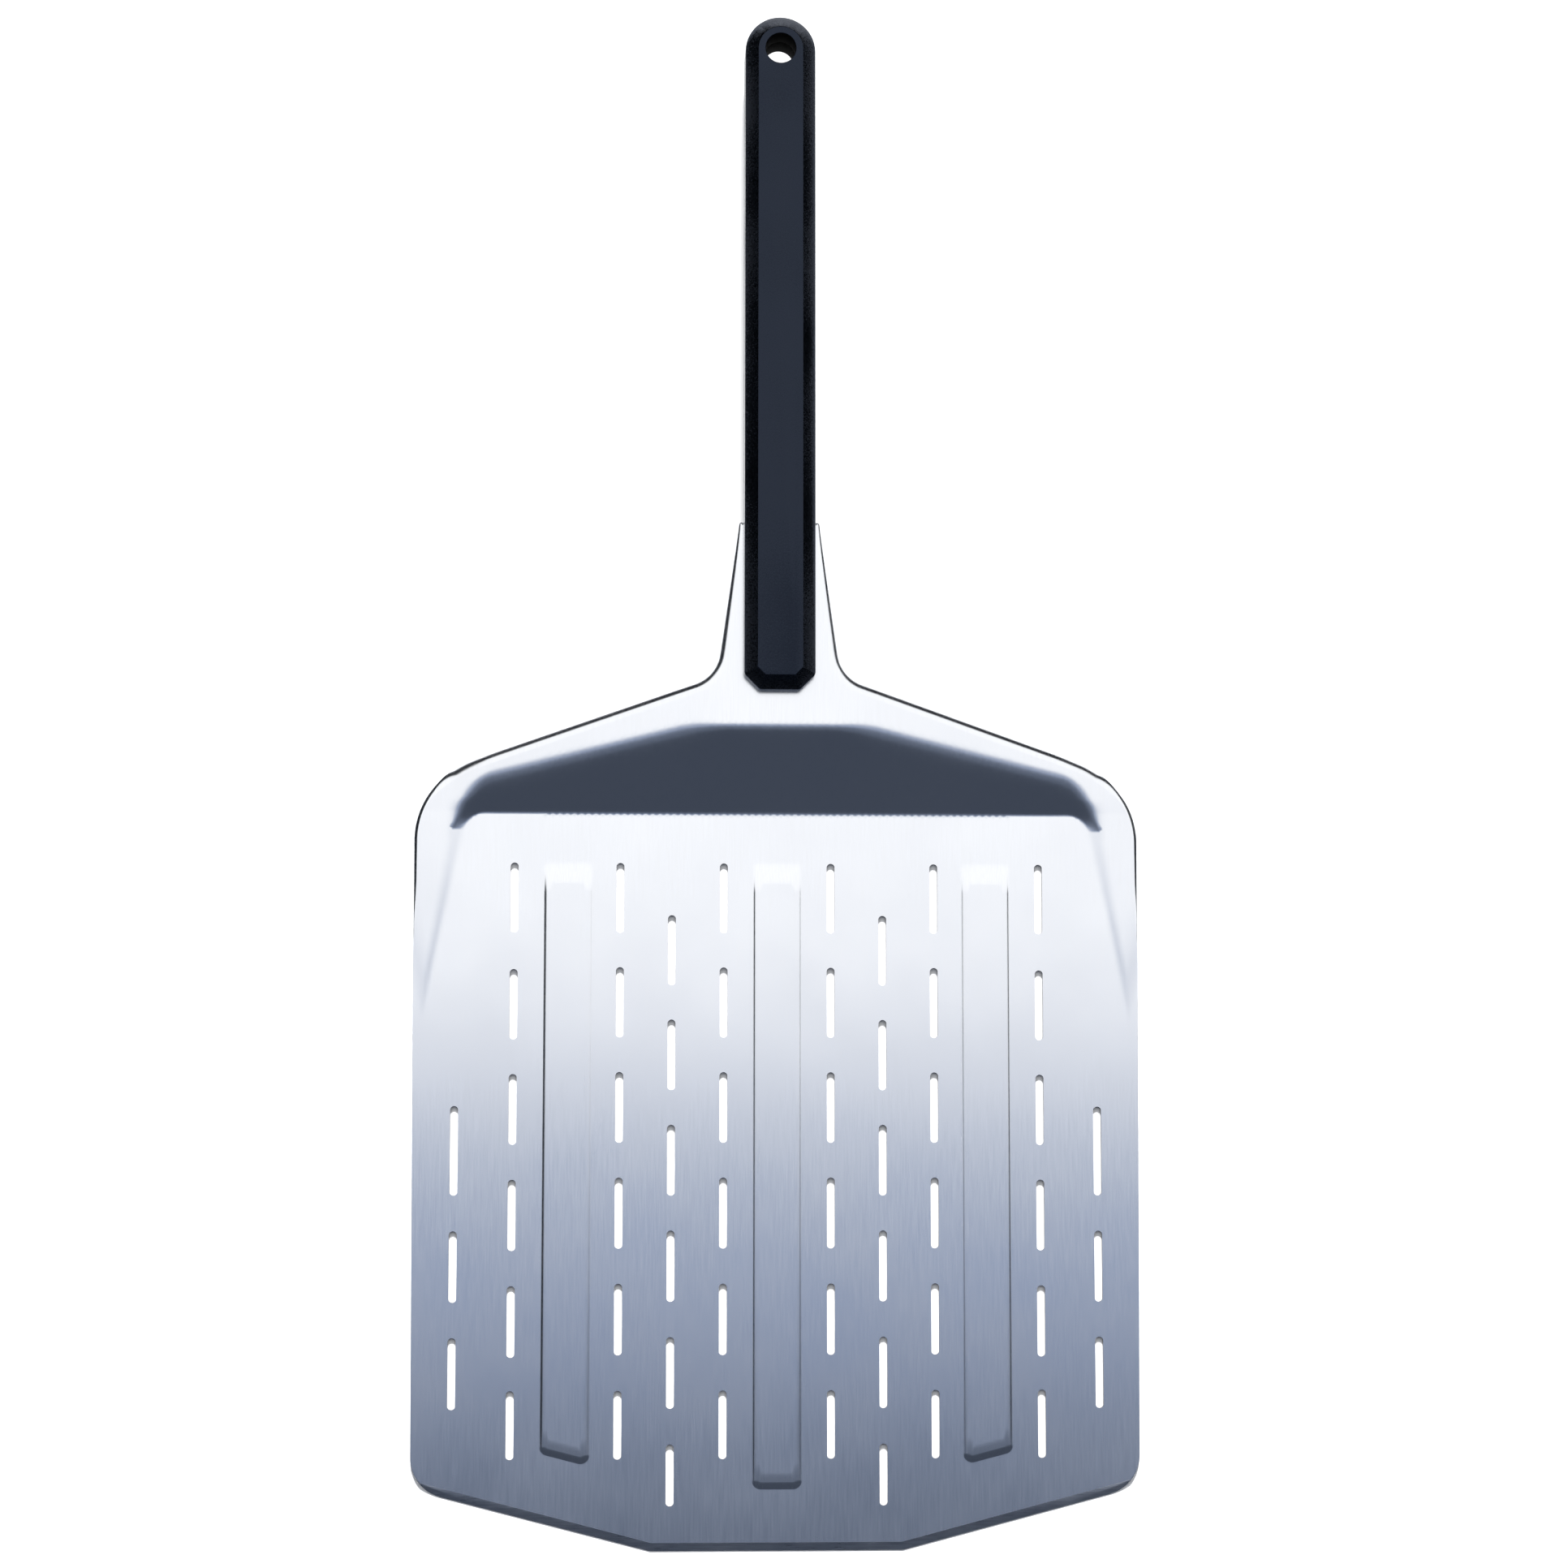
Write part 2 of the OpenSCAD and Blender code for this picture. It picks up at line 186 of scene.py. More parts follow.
# %% Room
DARK_ROOM = 0.015
room = bpy.data.worlds.new("room")
bpy.context.scene.world = room
room.use_nodes = True
tree = room.node_tree
tree.nodes.clear()
seen = add_node(tree, "ShaderNodeLightPath")
dim = add_node(tree, "ShaderNodeBackground", {"Color": linear(SKY_BLUE), "Strength": DARK_ROOM})
pale = add_node(tree, "ShaderNodeBackground", {"Color": linear("#f2f4f7"), "Strength": 1.0})
mixed = add_node(tree, "ShaderNodeMixShader",
                 {0: seen.outputs["Is Camera Ray"], 1: dim.outputs[0], 2: pale.outputs[0]})
add_node(tree, "ShaderNodeOutputWorld", {"Surface": mixed.outputs[0]})
print("room", DARK_ROOM, "in mirrors, pale behind the object")

# %% [markdown]
# ## The blade's drawing
# The real blade is cut from one aluminium sheet, then punched and pressed in a die. It could be modelled
# by hand with subdivision, but every line of it follows a rule: straight runs joined by arcs, one ramp,
# three ribs. So the drawing is kept as corner points with radii, and the press is one height formula.

# %% Outline of the sheet
blade_low, blade_high = [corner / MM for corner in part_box("blade")]
FRONT = blade_low.y
SHEET = 1.6
TIP_W = 104.6
FRONT_W = 302
SWEEP = 25.5
REAR_W = 306
NECK_ROOT_W = 53.4
NECK_TOP_W = 34
TANG_W = 17
CORNER_Y = FRONT + 319.3
ROOT_Y = CORNER_Y + 42.6
NECK_END = ROOT_Y + 65.4
RISE = blade_high.z - SHEET
BEVEL = 3.4
BEVEL_EDGE = 0.4

# corners of the right half, each as x, y and its radius
half_outline = [
    (TIP_W / 2, FRONT, 3),
    (FRONT_W / 2, FRONT + SWEEP, 17),
    (REAR_W / 2, CORNER_Y, 36),
    (NECK_ROOT_W / 2, ROOT_Y, 15),
    (NECK_TOP_W / 2, NECK_END, 1.4),
    (TANG_W / 2, NECK_END, 2),
    (TANG_W / 2, blade_high.y, 4),
]
corners = half_outline + [(-x, y, r) for x, y, r in reversed(half_outline)]


def rounded(corners, arc_step, line_step):
    """Points of a closed outline whose corners are (x, y, radius), filled along arcs and lines."""
    points = [np.array(c[:2], float) for c in corners]
    arcs = []
    for i, (x, y, radius) in enumerate(corners):
        vertex = points[i]
        to_last = points[i - 1] - vertex
        to_next = points[(i + 1) % len(points)] - vertex
        to_last /= np.linalg.norm(to_last)
        to_next /= np.linalg.norm(to_next)
        half = math.acos(np.clip(to_last @ to_next, -1, 1)) / 2
        middle = to_last + to_next
        centre = vertex + middle / np.linalg.norm(middle) * radius / math.sin(half)
        a = vertex + to_last * radius / math.tan(half) - centre
        b = vertex + to_next * radius / math.tan(half) - centre
        start = math.atan2(a[1], a[0])
        sweep = math.atan2(a[0] * b[1] - a[1] * b[0], a @ b)
        steps = max(3, math.ceil(abs(sweep) * radius / arc_step))
        angles = start + sweep * np.linspace(0, 1, steps + 1)
        arcs.append(centre + radius * np.stack([np.cos(angles), np.sin(angles)], 1))
    filled = []
    for i, arc in enumerate(arcs):
        filled.append(arc)
        end, begin = arc[-1], arcs[(i + 1) % len(arcs)][0]
        steps = math.ceil(np.linalg.norm(begin - end) / line_step)
        filled.append(end + (begin - end) * np.linspace(0, 1, steps + 1)[1:-1, None])
    return np.concatenate(filled)


def inward(ring):
    """Unit normals that point into a closed anticlockwise ring of points."""
    ahead = np.roll(ring, -1, 0) - ring
    ahead /= np.linalg.norm(ahead, axis=1)[:, None]
    along = ahead + np.roll(ahead, 1, 0)
    along /= np.linalg.norm(along, axis=1)[:, None]
    return np.stack([-along[:, 1], along[:, 0]], 1)


ARC_STEP = 1.2
LINE_STEP = 3.0
outline = rounded(corners, ARC_STEP, LINE_STEP)
outline[:, 0] *= blade_high.x / outline[:, 0].max()
print("outline points", len(outline), "half width", round(outline[:, 0].max(), 2))

# %% [markdown]
# ## The press as a height formula
# A pressed sheet has no sharp folds: the metal flows round the die's radii. Planes that are joined by a
# smooth minimum or maximum give just that, with the width of each blend as its radius. The raised part is
# the lowest of the ramp, the level neck and the sloping shoulders, and the ribs are pushed up on top.

# %% Height of the pressed sheet
FOOT = FRONT + 305.8
RUN = 33.6
HEAD = FOOT + RUN
RAMP_SLOPE = RISE / RUN
EDGE_ANGLE = math.atan(0.24)
WING_SLOPE = 0.117
PLATEAU = 27.2
RAIL_L = 104.5
RAIL_H = 0.9
RAIL_REAR = 130.5
RAIL_WALL = 0.16
CORNER_FALL = 0.287
RAIL_ANGLE = math.atan2(REAR_W / 2 - RAIL_REAR, RAIL_L)
BASIN_R = 10
RIB_W = 21.2
RIB_H = 1.0
RIB_FOOT = 0.7
RIB_BEND = 3.3
RIB_R = 4
RIB_PITCH = 87.8
RIB_FRONT = 24.8
SIDE_RIB_FRONT = 37
RIB_REAR = 283


def smooth_min(a, b, blend):
    """The lower of two heights, joined by a round bend."""
    part = np.clip(0.5 + 0.5 * (b - a) / blend, 0, 1)
    return b * (1 - part) + a * part - blend * part * (1 - part)


def smooth_max(a, b, blend):
    """The higher of two heights, joined by a round bend."""
    return -smooth_min(-a, -b, blend)


def step_between(value, low, high):
    """A soft step from 0 to 1 between two values."""
    part = np.clip((value - low) / (high - low), 0, 1)
    return part * part * (3 - 2 * part)


print("ramp slope", round(RAMP_SLOPE, 3), "rail angle", round(math.degrees(RAIL_ANGLE), 1))

# %% Ramp, neck, shoulders and rails
RAIL_LEVEL_SLOPE = 0.02
FALL_FROM_X = 138
FALL_BEND = 0.8
WING_BEND = 1.0
ROOF_BEND = 0.6
RAMP_TOP_BEND = 1.7
SLANT_BEND = 1.3
RAMP_FOOT_BEND = 0.55
RAIL_TOP_BEND = 0.25
RAIL_FOOT_BEND = 0.2


def outside_basin(x, y):
    """Distance outward from the sunken floor, and how far its wall faces forward there."""
    side = np.array([math.cos(RAIL_ANGLE), math.sin(RAIL_ANGLE)])
    beyond_foot = y - FOOT + BASIN_R
    beyond_side = (x - RAIL_REAR) * side[0] + (y - FOOT) * side[1] + BASIN_R
    corner_y = FOOT - BASIN_R
    corner_x = RAIL_REAR - BASIN_R * (1 - side[1]) / side[0]
    from_corner = np.hypot(x - corner_x, y - corner_y)
    past_foot_line = x > corner_x
    past_side_line = (corner_x - x) * side[1] - (corner_y - y) * side[0] > 0
    round_part = past_foot_line & past_side_line
    distance = np.where(round_part, from_corner, np.maximum(beyond_foot, beyond_side)) - BASIN_R
    round_turn = (y - corner_y) / np.maximum(from_corner, 1e-6)
    turned = np.where(round_part, round_turn, beyond_foot > beyond_side)
    return distance, np.clip((turned - side[1]) / (1 - side[1]), 0, 1)


def pressed(x, y):
    """Height of the underside before the ribs: ramp, neck, shoulders and side rails."""
    x = np.abs(x)
    distance, forward = outside_basin(x, y)
    wall = distance * (RAIL_WALL + (RAMP_SLOPE - RAIL_WALL) * forward)
    beyond_slant = (x - PLATEAU) * math.cos(EDGE_ANGLE) + (HEAD - y) * math.sin(EDGE_ANGLE)
    wing = RISE - WING_SLOPE * beyond_slant
    level = RAIL_H + (y - FOOT) * np.where(y < FOOT, RAIL_H / RAIL_L, RAIL_LEVEL_SLOPE)
    fall = smooth_max(CORNER_FALL * (FALL_FROM_X - x), 0 * x, FALL_BEND)
    fall = fall * step_between(y, FOOT - 12, FOOT + 6)
    neck_and_wings = smooth_min(np.full_like(x, RISE), wing, WING_BEND)
    roof = smooth_min(neck_and_wings, level + fall, ROOF_BEND)
    at_rail = step_between(x, 112, 136) * step_between(FOOT + 14 - y, 0, 20)
    on_slant = step_between(x, PLATEAU - 6, PLATEAU + 16)
    top_blend = (RAMP_TOP_BEND + SLANT_BEND * on_slant
                 - (RAMP_TOP_BEND + SLANT_BEND - RAIL_TOP_BEND) * at_rail)
    bottom_blend = RAMP_FOOT_BEND - (RAMP_FOOT_BEND - RAIL_FOOT_BEND) * at_rail
    return smooth_max(smooth_min(wall, roof, top_blend), 0 * x, bottom_blend)


probe = np.array([0.0, 100.0, 140.0])
print("underside heights", np.round(pressed(probe, np.array([HEAD + 5, CORNER_Y, FOOT - 40])), 2))


# %% Ribs
def rib_corners(middle, front, skew):
    """Corner points of one rib; skew slants its front end along the slanted tip."""
    return [
        (middle - RIB_W / 2, FRONT + front - skew, RIB_R),
        (middle + RIB_W / 2, FRONT + front + skew, RIB_R),
        (middle + RIB_W / 2, FRONT + RIB_REAR, RIB_R),
        (middle - RIB_W / 2, FRONT + RIB_REAR, RIB_R),
    ]


RIB_SKEW = RIB_W * SWEEP / (FRONT_W - TIP_W)
ribs = [rib_corners(0, RIB_FRONT, 0), rib_corners(RIB_PITCH, SIDE_RIB_FRONT, RIB_SKEW),
        rib_corners(-RIB_PITCH, SIDE_RIB_FRONT, -RIB_SKEW)]


def inset_step(ring):
    """How far each corner of a polygon moves when all its sides move in by one."""
    ahead = np.roll(ring, -1, 0) - ring
    ahead /= np.linalg.norm(ahead, axis=1)[:, None]
    normal = np.stack([-ahead[:, 1], ahead[:, 0]], 1)
    last = np.roll(normal, 1, 0)
    return (normal + last) / (1 + (normal * last).sum(1))[:, None]


def depth_inside(x, y, rib):
    """Distance from the rounded outline of a rib to points inside it, negative outside."""
    ring = np.array([c[:2] for c in rib], float)
    ring = ring + inset_step(ring) * RIB_R
    p = np.stack([x, y], -1)
    inside = np.full(x.shape, np.inf)
    nearest = np.full(x.shape, np.inf)
    for a, b in zip(ring, np.roll(ring, -1, 0)):
        edge = b - a
        length = np.linalg.norm(edge)
        cross = (edge[0] * (p[..., 1] - a[1]) - edge[1] * (p[..., 0] - a[0])) / length
        inside = np.minimum(inside, cross)
        along = np.clip(((p - a) @ edge) / length ** 2, 0, 1)
        nearest = np.minimum(nearest, np.linalg.norm(p - a - along[..., None] * edge, axis=-1))
    return np.where(inside > 0, inside, -nearest) + RIB_R


REAR_RUN_OUT = 8
REAR_FADE = 9
FRONT_FADE = 7


def rib_height(x, y, rib):
    """A short bend at the foot that rounds over into the rib's top; both ends rise more gently."""
    sides = rib[:2] + [(cx, cy + REAR_RUN_OUT, r) for cx, cy, r in rib[2:]]
    depth = np.clip(depth_inside(x, y, sides), 0, RIB_BEND)
    left = RIB_BEND - depth
    bent = RIB_BEND - RIB_FOOT
    rise = np.where(depth < RIB_FOOT, depth ** 2 / RIB_FOOT, RIB_FOOT + bent - left ** 2 / bent)
    slant = (rib[1][1] - rib[0][1]) / RIB_W
    from_front = y - rib[0][1] - (x - rib[0][0]) * slant
    from_rear = rib[2][1] + 1.5 - y
    ends = (0.8 + 0.2 * step_between(from_front, 0, FRONT_FADE)) * step_between(from_rear, 0, REAR_FADE)
    return RIB_H * rise / RIB_BEND * ends


print("ribs", len(ribs), "height", RIB_H, "mm")


# %% Underside, bevel and top
def underside(x, y):
    """Height of the sheet's underside with its ribs."""
    return pressed(x, y) + sum(rib_height(x, y, rib) for rib in ribs)


def bevel_distance(x, y):
    """Distance behind the nearest of the three straight front edges."""
    slant = math.atan2(SWEEP, (FRONT_W - TIP_W) / 2)
    behind = (y - FRONT) * math.cos(slant) - (np.abs(x) - TIP_W / 2) * math.sin(slant)
    return np.minimum(y - FRONT, behind)


def topside(x, y):
    """Height of the sheet's top, cut down by the ground bevel along the front."""
    ground = BEVEL_EDGE + bevel_distance(x, y) * (SHEET - BEVEL_EDGE) / BEVEL
    return np.minimum(underside(x, y) + SHEET, ground)


probe = np.array([0.0, 0.0, 100.0, 140.0])
print("top heights", np.round(topside(probe, np.array([FOOT, HEAD + 5, CORNER_Y, FOOT - 40])), 2))

# %% [markdown]
# ## Net of points and skin
# The sheet is one closed mesh. Its inner field is triangulated from a net of points that is dense only
# where the metal bends, with the ribs' outlines and the bevel's crease as fixed lines. Round the neck and
# shoulders the edge is turned down in a small roll, so rings of points run down over it and back up
# inside; along the blade's sides the same rings shrink to a plain cut edge. A subdivided cage would need
# hand-placed loops for every rib and corner, and would still not follow the drawing exactly.

# %% Where the edge lies along the outline
TANG_SIDE = 15.2
NECK_FADE = 12

side_x, side_y = np.abs(outline[:, 0]), outline[:, 1]
normals = inward(outline)
off_tang = step_between(side_x, TANG_SIDE, TANG_SIDE + 1)
on_neck = step_between(side_y, ROOT_Y - 8, ROOT_Y + NECK_FADE) * off_tang
on_shoulder = step_between(side_y, CORNER_Y - 14, CORNER_Y + 8) * off_tang
on_rail = step_between(underside(*outline.T), 0.05, 0.8) * off_tang
neck_left = np.sqrt(np.clip((NECK_END - side_y) / (NECK_END - ROOT_Y - NECK_FADE), 0, 1))
print("outline points on the raised part", int((on_rail > 0.5).sum()))

# %% How far the edge turns down
EDGE_WIDTH = 0.6
CUT_TILT = 1
RAIL_TILT = 28.5
SHOULDER_TILT = 14
NECK_TILT = 2
EDGE_CLEARANCE = 0.05

full_tilt = np.radians(CUT_TILT + RAIL_TILT * on_rail + SHOULDER_TILT * on_shoulder + NECK_TILT * on_neck)
flange = (1.6 * on_rail * (1 - on_shoulder) + 0.8 * on_shoulder * (1 - on_neck)
          + (0.3 + 0.8 * neck_left) * on_neck)
sides_width = (1.4 * on_rail + 2.5 * on_shoulder) * (1 - on_neck)
width = EDGE_WIDTH + sides_width + (0.4 + 3.6 * neck_left) * on_neck
width = np.where(side_x < TANG_SIDE, EDGE_WIDTH, width)
thickness = topside(*outline.T) - underside(*outline.T)
half_turn = np.tan(full_tilt / 2)
room = topside(*outline.T) - EDGE_CLEARANCE - thickness * np.cos(full_tilt) - width * half_turn
flange = np.clip(room / (np.sin(full_tilt) - np.cos(full_tilt) * half_turn), 0, flange)
bend_r = (width - flange * np.cos(full_tilt)) / np.sin(full_tilt)
ring = outline + normals * width[:, None]
print("bend radius", round(float(bend_r.min()), 2), "edge width", round(float(width.max()), 2))


# %% Net of points for the field
def patch(x0, x1, y0, y1, dx, dy):
    """A net of points on both sides of the blade, with every other row shifted half a step."""
    xs, ys = np.meshgrid(np.arange(x0, x1, dx), np.arange(y0, y1, dy))
    xs[1::2] += dx / 2
    net = np.stack([xs.ravel(), ys.ravel()], 1)
    return np.concatenate([net, net[net[:, 0] > dx / 3] * (-1, 1)])


# each zone: x from and to, y from and to, and the net's steps in x and y
zones = [
    (0, REAR_W / 2, FRONT, blade_high.y, 6.0, 6.0),
    (0, 120, FOOT - 4, HEAD + 10, 3.0, 1.1),
    (99, REAR_W / 2, FOOT - 20, HEAD + 10, 1.2, 1.1),
    (122, REAR_W / 2, FOOT - 125, FOOT - 20, 0.9, 3.0),
    (0, 12, FRONT + 270, FRONT + 286, 1.6, 1.1),
    (76, 100, FRONT + 270, FRONT + 286, 1.6, 1.1),
    (0, 12, FRONT + 24, FRONT + 34, 1.6, 1.1),
    (76, 100, FRONT + 30, FRONT + 49, 1.6, 1.1),
]
net = np.zeros((0, 2))
for zone in zones:
    x0, x1, y0, y1 = zone[:4]
    across = np.abs(net[:, 0])
    covered = (across >= x0) & (across < x1) & (net[:, 1] >= y0) & (net[:, 1] < y1)
    net = np.concatenate([net[~covered], patch(*zone)])
print("net", len(net), "points")


# %% Inside and near tests
def inside(points, polygon):
    """Which points lie inside a closed polygon."""
    x, y = points[:, 0], points[:, 1]
    odd = np.zeros(len(points), bool)
    for (ax, ay), (bx, by) in zip(polygon, np.roll(polygon, -1, 0)):
        if ay != by:
            crossing = (ay > y) != (by > y)
            odd ^= crossing & (x < (bx - ax) * (y - ay) / (by - ay) + ax)
    return odd


def near(points, line, distance, closed=True):
    """Which points lie within a distance of a line of points."""
    close = np.zeros(len(points), bool)
    ends = np.roll(line, -1, 0) if closed else line[1:]
    for a, b in zip(line, ends):
        edge = b - a
        along = np.clip(((points - a) @ edge) / max(edge @ edge, 1e-12), 0, 1)
        close |= np.linalg.norm(points - a - along[:, None] * edge, axis=1) < distance
    return close


print("net points inside the sheet", int(inside(net, ring).sum()))

# %% Rings round each rib's wall
RIB_RINGS = 8
rib_rings = []
for rib in ribs:
    step = inset_step(np.array([c[:2] for c in rib], float))
    for k in range(RIB_RINGS):
        depth = RIB_BEND * k / (RIB_RINGS - 1)
        moved = [(c[0] + s[0] * depth, c[1] + s[1] * depth, RIB_R - depth) for c, s in zip(rib, step)]
        rib_rings.append(rounded(moved, 0.8, 7.0))
print("rib rings", len(rib_rings))

# %% Crease of the ground bevel
distance = bevel_distance(ring[:, 0], ring[:, 1])
front_part = ring[:, 1] < FRONT + 60
off_crease = np.where(front_part, np.abs(distance - BEVEL), np.inf)
right_end = np.argmin(np.where(ring[:, 0] > 60, off_crease, np.inf))
left_end = np.argmin(np.where(ring[:, 0] < -60, off_crease, np.inf))
right_tip = np.argmin(np.hypot(ring[:, 0] - TIP_W / 2, ring[:, 1] - FRONT))
left_tip = np.argmin(np.hypot(ring[:, 0] + TIP_W / 2, ring[:, 1] - FRONT))
mitre_x = TIP_W / 2 - BEVEL * math.tan(math.atan2(SWEEP, (FRONT_W - TIP_W) / 2) / 2)
mitres = np.array([[mitre_x, FRONT + BEVEL], [-mitre_x, FRONT + BEVEL]])
crease = np.array([ring[right_end], mitres[0], mitres[1], ring[left_end]])
print("crease", np.round(crease, 1).tolist())

# %% Points kept clear of the fixed lines
EDGE_GAP = 0.9
RIB_GAP = 0.7

keep = inside(net, ring) & ~near(net, ring, EDGE_GAP) & ~near(net, crease, EDGE_GAP, closed=False)
for rib_ring in rib_rings[::RIB_RINGS] + rib_rings[RIB_RINGS - 1::RIB_RINGS]:
    keep &= ~near(net, rib_ring, RIB_GAP)
for rib in ribs:
    depth = depth_inside(net[:, 0], net[:, 1], rib)
    keep &= (depth < 0) | (depth > RIB_BEND)
net = net[keep]
print("kept", len(net), "net points")

# %% Triangulated field
points = [ring, mitres] + rib_rings + [net]
starts = np.cumsum([0] + [len(p) for p in points])
fixed = []
for k in range(2, 2 + len(rib_rings)):
    count = len(points[k])
    fixed += [(starts[k] + i, starts[k] + (i + 1) % count) for i in range(count)]
m0, m1 = starts[1], starts[1] + 1
fixed += [(right_end, m0), (m0, m1), (m1, left_end), (m0, right_tip), (m1, left_tip)]
fixed = [(int(a), int(b)) for a, b in fixed]
flat = [Vector(p) for p in np.concatenate(points)]
result = delaunay_2d_cdt(flat, fixed, [list(range(len(ring)))], 1, 1e-5)
field = np.array([tuple(v) for v in result[0]])
field_faces = [tuple(f) for f in result[2]]
home = {source: k for k, sources in enumerate(result[3]) for source in sources}
print("field", len(field), "points", len(field_faces), "triangles")

# %% [markdown]
# ## Closing the skin
# The field is laid twice, once on the top and once on the underside, and the gap between them is closed
# by rings of quads that follow the rolled edge. A Solidify modifier would give an even thickness, but it
# can't round the cut edge or thin the sheet at the bevel.

# %% Closed skin with its bent edge
BEND_STEPS = 6
ROUND_STEPS = 3
count = len(field)
x, y = field[:, 0], field[:, 1]
skin = [np.column_stack([x, y, topside(x, y)]), np.column_stack([x, y, underside(x, y)])]
ring_ids = [np.array([home[i] for i in range(len(ring))])]
corner_r = np.minimum(0.4, 0.3 * thickness)


def add_ring(offset, drop, ids=ring_ids, parts=skin):
    """One more ring at a distance inside the outline and a depth below the top surface."""
    place = outline + normals * offset[:, None]
    height = np.maximum(topside(*place.T) - drop, 0)
    start = sum(len(part) for part in parts)
    parts.append(np.column_stack([place, np.minimum(height, blade_high.z)]))
    ids.append(np.arange(start, start + len(outline)))


def bent(tilt, radius):
    """Offset and drop of a point on the bend after it has turned by a tilt."""
    return width - radius * np.sin(tilt), bend_r - radius * np.cos(tilt)


for k in range(1, BEND_STEPS + 1):
    add_ring(*bent(full_tilt * k / BEND_STEPS, bend_r))
turn_cos, turn_sin = np.cos(full_tilt), np.sin(full_tilt)
end_offset, end_drop = bent(full_tilt, bend_r)
straight = end_offset / turn_cos - corner_r
for a in np.linspace(0, math.pi / 2, ROUND_STEPS + 1):
    ahead = straight + corner_r * math.sin(a)
    inward_by = corner_r * (1 - math.cos(a))
    add_ring(end_offset - ahead * turn_cos + inward_by * turn_sin,
             end_drop + ahead * turn_sin + inward_by * turn_cos)
for a in np.linspace(0, math.pi / 2, ROUND_STEPS + 1):
    ahead = straight + corner_r * math.cos(a)
    inward_by = thickness - corner_r * (1 - math.sin(a))
    add_ring(end_offset - ahead * turn_cos + inward_by * turn_sin,
             end_drop + ahead * turn_sin + inward_by * turn_cos)
inner_r = np.maximum(bend_r - thickness, 0.15)
for k in range(BEND_STEPS - 1, 0, -1):
    offset, drop = bent(full_tilt * k / BEND_STEPS, inner_r)
    add_ring(offset, drop)
ring_ids.append(ring_ids[0] + count)

faces = list(field_faces) + [tuple(count + i for i in reversed(f)) for f in field_faces]
for outer, inner in zip(ring_ids[:-1], ring_ids[1:]):
    outer_next, inner_next = np.roll(outer, -1), np.roll(inner, -1)
    faces += [tuple(int(i) for i in quad) for quad in zip(outer, inner, inner_next, outer_next)]
blade = object_from("blade_sheet", np.concatenate(skin), faces)
mesh = bmesh.new()
mesh.from_mesh(blade.data)
bmesh.ops.recalc_face_normals(mesh, faces=mesh.faces)
# a sheet this thin can come out inside out, and its signed volume tells
if mesh.calc_volume(signed=True) < 0:
    bmesh.ops.reverse_faces(mesh, faces=mesh.faces)
open_edges = sum(not e.is_manifold for e in mesh.edges)
mesh.to_mesh(blade.data)
mesh.free()
print("skin", len(blade.data.polygons), "faces, open edges", open_edges)

# %% [markdown]
# ## Smooth reflections
# A mirror-like surface shows every small kink between triangles. More triangles would hide them, but the
# height formula knows the true slope at every point, so its normals are written on the mesh instead.
# Corners on the cut edges and in the slots keep the normals that Blender works out.

# %% Normals straight from the height formula
SLOPE_STEP = 0.02
ON_SURFACE = 0.02
SHARP_EDGE = math.radians(35)


def surface_normals(surface, x, y):
    """Unit normals of a height formula, from its slopes either side of each point."""
    h = SLOPE_STEP
    slope_x = (surface(x + h, y) - surface(x - h, y)) / (2 * h)
    slope_y = (surface(x, y + h) - surface(x, y - h)) / (2 * h)
    normal = np.stack([-slope_x, -slope_y, np.ones_like(x)], -1)
    return normal / np.linalg.norm(normal, axis=-1, keepdims=True)


def set_formula_normals(piece):
    """Face corners that lie on the top or the underside take the formula's normals."""
    data = piece.data
    place = np.empty(len(data.vertices) * 3)
    data.vertices.foreach_get("co", place)
    place = place.reshape(-1, 3) / MM
    corner_vertex = np.empty(len(data.loops), int)
    data.loops.foreach_get("vertex_index", corner_vertex)
    centre = np.empty(len(data.polygons) * 3)
    data.polygons.foreach_get("center", centre)
    centre = centre.reshape(-1, 3) / MM
    facing = np.empty(len(data.polygons) * 3)
    data.polygons.foreach_get("normal", facing)
    facing = facing.reshape(-1, 3)
    total = np.empty(len(data.polygons), int)
    data.polygons.foreach_get("loop_total", total)
    owner = np.repeat(np.arange(len(total)), total)
    corner = place[corner_vertex]
    probe = corner + (centre[owner] - corner) * 0.1
    result = np.zeros((len(corner), 3))
    for surface, sign in ((topside, 1), (underside, -1)):
        normal = surface_normals(surface, probe[:, 0], probe[:, 1]) * sign
        off = np.abs(corner[:, 2] - surface(corner[:, 0], corner[:, 1]))
        worst = np.zeros(len(total))
        np.maximum.at(worst, owner, off)
        match = (worst[owner] < ON_SURFACE) & ((normal * facing[owner]).sum(1) > 0.6)
        result[match] = normal[match]
    data.shade_smooth()
    data.set_sharp_from_angle(angle=SHARP_EDGE)
    data.normals_split_custom_set([tuple(n) for n in result])
    print("formula normals on", int((np.abs(result).sum(1) > 0).sum()), "of", len(result), "corners")


# %% [markdown]
# ## Finishes
# The object has seven finishes: satin aluminium sheet, the same metal ground at the bevel and punched in
# the slots, where its walls are darkened as painted shade, black glass-filled nylon with its grain and
# without it in the cord hole, where it is darkened as painted shade, plated steel, and turned brass. A
# picture texture could show each, but noise has no seams and no fixed resolution. Each finish is a small
# shader whose noise stands for the marks of the process. It is laid out in object space, in millimetres,
# so it stays in true scale on every piece.

# %% Shader helper
CLOUD_MM = 45


